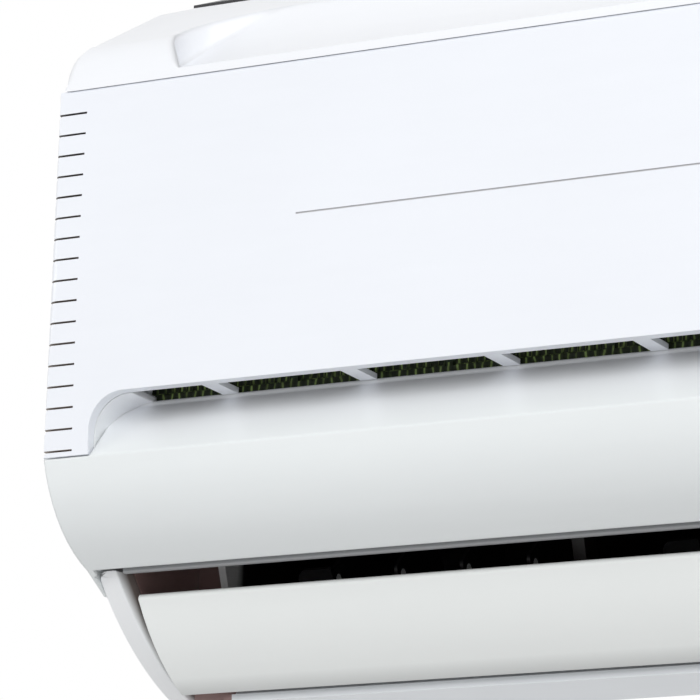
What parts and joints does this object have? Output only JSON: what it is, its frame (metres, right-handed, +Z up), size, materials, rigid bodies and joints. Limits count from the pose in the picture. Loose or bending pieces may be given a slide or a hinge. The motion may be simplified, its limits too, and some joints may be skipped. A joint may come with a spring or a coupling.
{
  "type": "wall-mounted fan coil unit",
  "caption": "Long white indoor air unit for a wall: hinged ribbed front panel over filters and a folded coil, cross-flow fan, curved outlet flap with steering vanes, wall plate.",
  "frame": {"origin": "on the wall, at the middle of the wall plate's four screw holes", "axes": "+X to the right seen from the room, +Y into the wall, +Z up"},
  "size_m": [0.83, 0.2, 0.2972],
  "materials": {
    "panel_plastic": "smooth satin gloss",
    "casing_plastic": "smooth satin",
    "inner_plastic": "fine matt",
    "vane_plastic": "fine matt",
    "dark_plastic": "fine matt",
    "tray_plastic": "foam backed",
    "filter_plastic": "fine matt",
    "filter_net": "woven net",
    "fins": "bare fin edges",
    "sheet_steel": "galvanised",
    "copper": "drawn copper",
    "nut_brass": "machined",
    "motor_can": "satin paint",
    "shaft_steel": "ground",
    "bush_rubber": "plain",
    "board": "solder resist",
    "fan_plastic": "fine matt"
  },
  "bodies": {
    "unit": {"front_casing": "casing_plastic", "rear_chassis": "inner_plastic", "drain_tray": "tray_plastic", "left_cheek": "casing_plastic", "right_cheek": "casing_plastic", "left_end_block": "inner_plastic", "right_end_block": "inner_plastic", "outlet_rail": "tray_plastic", "flap_motor": "motor_can", "bearing_holder": "inner_plastic", "bearing_bush": "bush_rubber", "fan_motor": "motor_can", "motor_clamp": "inner_plastic", "clamp_screws": "shaft_steel", "coil_lower": "fins", "coil_upper": "fins", "coil_rear": "fins", "coil_plate_left": "sheet_steel", "coil_plate_right": "sheet_steel", "coil_tubes": "copper", "left_filter_frame": "filter_plastic", "right_filter_frame": "filter_plastic", "left_filter_mesh": "filter_net", "right_filter_mesh": "filter_net", "top_grille": "dark_plastic", "wall_plate": "sheet_steel", "control_box": "inner_plastic", "control_box_cover": "inner_plastic", "control_board": "board", "terminal_block": "dark_plastic", "gas_pipe": "copper", "liquid_pipe": "copper", "flare_nuts": "nut_brass", "pipe_clamp": "inner_plastic"},
    "front_panel": {"front_panel": "panel_plastic"},
    "flap": {"flap": "casing_plastic"},
    "fan": {"fan_wheel": "fan_plastic", "fan_stub_shaft": "shaft_steel", "motor_shaft": "shaft_steel"},
    "vane_1_1": {"vane_1_1": "vane_plastic"},
    "vane_1_2": {"vane_1_2": "vane_plastic"},
    "vane_1_3": {"vane_1_3": "vane_plastic"},
    "vane_1_4": {"vane_1_4": "vane_plastic"},
    "tie_bar_1": {"tie_bar_1": "dark_plastic"},
    "vane_2_1": {"vane_2_1": "vane_plastic"},
    "vane_2_2": {"vane_2_2": "vane_plastic"},
    "vane_2_3": {"vane_2_3": "vane_plastic"},
    "vane_2_4": {"vane_2_4": "vane_plastic"},
    "tie_bar_2": {"tie_bar_2": "dark_plastic"},
    "vane_3_1": {"vane_3_1": "vane_plastic"},
    "vane_3_2": {"vane_3_2": "vane_plastic"},
    "vane_3_3": {"vane_3_3": "vane_plastic"},
    "vane_3_4": {"vane_3_4": "vane_plastic"},
    "tie_bar_3": {"tie_bar_3": "dark_plastic"},
    "vane_4_1": {"vane_4_1": "vane_plastic"},
    "vane_4_2": {"vane_4_2": "vane_plastic"},
    "vane_4_3": {"vane_4_3": "vane_plastic"},
    "vane_4_4": {"vane_4_4": "vane_plastic"},
    "tie_bar_4": {"tie_bar_4": "dark_plastic"}
  },
  "joints": [
    {"name": "panel_hinge", "type": "hinge", "parent": "unit", "child": "front_panel", "pos_m": [0, -0.1955, 0.0479], "axis": [-1, 0, 0], "range_deg": [0, 65]},
    {"name": "flap_hinge", "type": "hinge", "parent": "unit", "child": "flap", "pos_m": [0, -0.1185, -0.1383], "axis": [-1, 0, 0], "range_deg": [-7, 45]},
    {"name": "fan_spin", "type": "hinge", "parent": "unit", "child": "fan", "pos_m": [0, -0.0865, -0.043], "axis": [1, 0, 0], "continuous": true},
    {"name": "vane_1_1_turn", "type": "hinge", "parent": "unit", "child": "vane_1_1", "pos_m": [-0.3325, -0.08729, -0.14822], "axis": [0, -0.682, 0.7314], "range_deg": [-30, 30]},
    {"name": "vane_1_2_turn", "type": "hinge", "parent": "unit", "child": "vane_1_2", "pos_m": [-0.3051, -0.08729, -0.14822], "axis": [0, -0.682, 0.7314], "range_deg": [-30, 30]},
    {"name": "vane_1_3_turn", "type": "hinge", "parent": "unit", "child": "vane_1_3", "pos_m": [-0.2777, -0.08729, -0.14822], "axis": [0, -0.682, 0.7314], "range_deg": [-30, 30]},
    {"name": "vane_1_4_turn", "type": "hinge", "parent": "unit", "child": "vane_1_4", "pos_m": [-0.2503, -0.08729, -0.14822], "axis": [0, -0.682, 0.7314], "range_deg": [-30, 30]},
    {"name": "tie_bar_1_swing", "type": "hinge", "parent": "vane_1_1", "child": "tie_bar_1", "pos_m": [-0.3325, -0.07559, -0.13731], "axis": [0, -0.682, 0.7314], "range_deg": [-40, 40]},
    {"name": "vane_2_1_turn", "type": "hinge", "parent": "unit", "child": "vane_2_1", "pos_m": [-0.1825, -0.08729, -0.14822], "axis": [0, -0.682, 0.7314], "range_deg": [-30, 30]},
    {"name": "vane_2_2_turn", "type": "hinge", "parent": "unit", "child": "vane_2_2", "pos_m": [-0.1551, -0.08729, -0.14822], "axis": [0, -0.682, 0.7314], "range_deg": [-30, 30]},
    {"name": "vane_2_3_turn", "type": "hinge", "parent": "unit", "child": "vane_2_3", "pos_m": [-0.1277, -0.08729, -0.14822], "axis": [0, -0.682, 0.7314], "range_deg": [-30, 30]},
    {"name": "vane_2_4_turn", "type": "hinge", "parent": "unit", "child": "vane_2_4", "pos_m": [-0.1003, -0.08729, -0.14822], "axis": [0, -0.682, 0.7314], "range_deg": [-30, 30]},
    {"name": "tie_bar_2_swing", "type": "hinge", "parent": "vane_2_1", "child": "tie_bar_2", "pos_m": [-0.1825, -0.07559, -0.13731], "axis": [0, -0.682, 0.7314], "range_deg": [-40, 40]},
    {"name": "vane_3_1_turn", "type": "hinge", "parent": "unit", "child": "vane_3_1", "pos_m": [-0.0325, -0.08729, -0.14822], "axis": [0, -0.682, 0.7314], "range_deg": [-30, 30]},
    {"name": "vane_3_2_turn", "type": "hinge", "parent": "unit", "child": "vane_3_2", "pos_m": [-0.0051, -0.08729, -0.14822], "axis": [0, -0.682, 0.7314], "range_deg": [-30, 30]},
    {"name": "vane_3_3_turn", "type": "hinge", "parent": "unit", "child": "vane_3_3", "pos_m": [0.0223, -0.08729, -0.14822], "axis": [0, -0.682, 0.7314], "range_deg": [-30, 30]},
    {"name": "vane_3_4_turn", "type": "hinge", "parent": "unit", "child": "vane_3_4", "pos_m": [0.0497, -0.08729, -0.14822], "axis": [0, -0.682, 0.7314], "range_deg": [-30, 30]},
    {"name": "tie_bar_3_swing", "type": "hinge", "parent": "vane_3_1", "child": "tie_bar_3", "pos_m": [-0.0325, -0.07559, -0.13731], "axis": [0, -0.682, 0.7314], "range_deg": [-40, 40]},
    {"name": "vane_4_1_turn", "type": "hinge", "parent": "unit", "child": "vane_4_1", "pos_m": [0.1175, -0.08729, -0.14822], "axis": [0, -0.682, 0.7314], "range_deg": [-30, 30]},
    {"name": "vane_4_2_turn", "type": "hinge", "parent": "unit", "child": "vane_4_2", "pos_m": [0.1449, -0.08729, -0.14822], "axis": [0, -0.682, 0.7314], "range_deg": [-30, 30]},
    {"name": "vane_4_3_turn", "type": "hinge", "parent": "unit", "child": "vane_4_3", "pos_m": [0.1723, -0.08729, -0.14822], "axis": [0, -0.682, 0.7314], "range_deg": [-30, 30]},
    {"name": "vane_4_4_turn", "type": "hinge", "parent": "unit", "child": "vane_4_4", "pos_m": [0.1997, -0.08729, -0.14822], "axis": [0, -0.682, 0.7314], "range_deg": [-30, 30]},
    {"name": "tie_bar_4_swing", "type": "hinge", "parent": "vane_4_1", "child": "tie_bar_4", "pos_m": [0.1175, -0.07559, -0.13731], "axis": [0, -0.682, 0.7314], "range_deg": [-40, 40]}
  ],
  "couplings": [
    {"joint": "vane_1_2_turn", "follows": "vane_1_1_turn", "ratio": 1},
    {"joint": "vane_1_3_turn", "follows": "vane_1_1_turn", "ratio": 1},
    {"joint": "vane_1_4_turn", "follows": "vane_1_1_turn", "ratio": 1},
    {"joint": "tie_bar_1_swing", "follows": "vane_1_1_turn", "ratio": -1},
    {"joint": "vane_2_2_turn", "follows": "vane_2_1_turn", "ratio": 1},
    {"joint": "vane_2_3_turn", "follows": "vane_2_1_turn", "ratio": 1},
    {"joint": "vane_2_4_turn", "follows": "vane_2_1_turn", "ratio": 1},
    {"joint": "tie_bar_2_swing", "follows": "vane_2_1_turn", "ratio": -1},
    {"joint": "vane_3_2_turn", "follows": "vane_3_1_turn", "ratio": 1},
    {"joint": "vane_3_3_turn", "follows": "vane_3_1_turn", "ratio": 1},
    {"joint": "vane_3_4_turn", "follows": "vane_3_1_turn", "ratio": 1},
    {"joint": "tie_bar_3_swing", "follows": "vane_3_1_turn", "ratio": -1},
    {"joint": "vane_4_2_turn", "follows": "vane_4_1_turn", "ratio": 1},
    {"joint": "vane_4_3_turn", "follows": "vane_4_1_turn", "ratio": 1},
    {"joint": "vane_4_4_turn", "follows": "vane_4_1_turn", "ratio": 1},
    {"joint": "tie_bar_4_swing", "follows": "vane_4_1_turn", "ratio": -1}
  ]
}
